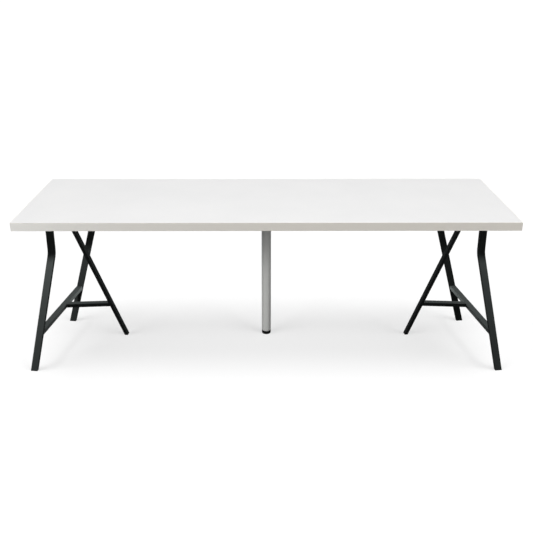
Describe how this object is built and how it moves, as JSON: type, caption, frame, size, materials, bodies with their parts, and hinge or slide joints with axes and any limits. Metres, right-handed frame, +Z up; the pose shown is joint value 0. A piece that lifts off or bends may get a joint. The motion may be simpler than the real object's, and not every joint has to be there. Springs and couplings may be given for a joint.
{
  "type": "trestle desk",
  "caption": "Long plain desk: white hollow board on black three-legged tube trestles, with a grey round centre leg on a levelling foot.",
  "frame": {"origin": "on the floor, under the middle of the board", "axes": "+X along the desk to the user's right, +Y away from the user, +Z up"},
  "size_m": [2.0946, 0.6, 0.734],
  "materials": {
    "white_board": "white lacquer on fibreboard",
    "edge_foil": "off-white edge band",
    "frame_wood": "raw particle board",
    "core_paper": "paper honeycomb",
    "black_steel": "black powder coat, satin",
    "black_bolt": "blackened steel",
    "black_plastic": "black plastic",
    "foot_plastic": "black plastic",
    "bare_steel": "zinc plated",
    "grey_steel": "silver-grey lacquer",
    "grey_plastic": "light grey plastic",
    "pad_rubber": "soft rubber"
  },
  "bodies": {
    "table": {"band_back": "edge_foil", "band_front": "edge_foil", "band_left": "edge_foil", "band_right": "edge_foil", "block_centre": "frame_wood", "block_left": "frame_wood", "block_right": "frame_wood", "bottom_skin": "white_board", "bracket_bolts": "black_bolt", "bracket_left": "black_steel", "bracket_nuts": "bare_steel", "bracket_right": "black_steel", "core_left": "core_paper", "core_right": "core_paper", "crossbar_left": "black_steel", "crossbar_right": "black_steel", "frame_back": "frame_wood", "frame_front": "frame_wood", "frame_left": "frame_wood", "frame_right": "frame_wood", "front_foot_left": "black_plastic", "front_foot_right": "black_plastic", "front_leg_left": "black_steel", "front_leg_right": "black_steel", "inner_foot_left": "black_plastic", "inner_foot_right": "black_plastic", "inner_leg_left": "black_steel", "inner_leg_right": "black_steel", "leg_bottom_insert": "bare_steel", "leg_caps_left": "black_plastic", "leg_caps_right": "black_plastic", "leg_collar": "grey_plastic", "leg_plate": "bare_steel", "leg_stud": "bare_steel", "leg_top_insert": "grey_plastic", "leg_tube": "grey_steel", "plate_screws": "bare_steel", "rail_bolts": "black_bolt", "rail_inserts": "bare_steel", "rail_left": "black_steel", "rail_pads_left": "pad_rubber", "rail_pads_right": "pad_rubber", "rail_right": "black_steel", "rail_screws": "bare_steel", "rear_foot_left": "black_plastic", "rear_foot_right": "black_plastic", "rear_leg_left": "black_steel", "rear_leg_right": "black_steel", "stretcher_bolts": "black_bolt", "stretcher_insert_left": "bare_steel", "stretcher_insert_right": "bare_steel", "stretcher_left": "black_steel", "stretcher_right": "black_steel", "top_skin": "white_board"},
    "foot": {"foot_pad": "foot_plastic"},
    "level_screw": {"level_stud": "bare_steel"}
  },
  "joints": [
    {"name": "foot_slide", "type": "slide", "parent": "table", "child": "foot", "axis": [0, 0, -1], "range_m": [0, 0.009]},
    {"name": "screw_turn", "type": "hinge", "parent": "foot", "child": "level_screw", "pos_m": [0, 0.15, 0], "axis": [0, 0, -1], "range_deg": [0, 2160]}
  ],
  "couplings": [
    {"joint": "screw_turn", "follows": "foot_slide", "rad_per_m": 4188.8}
  ]
}
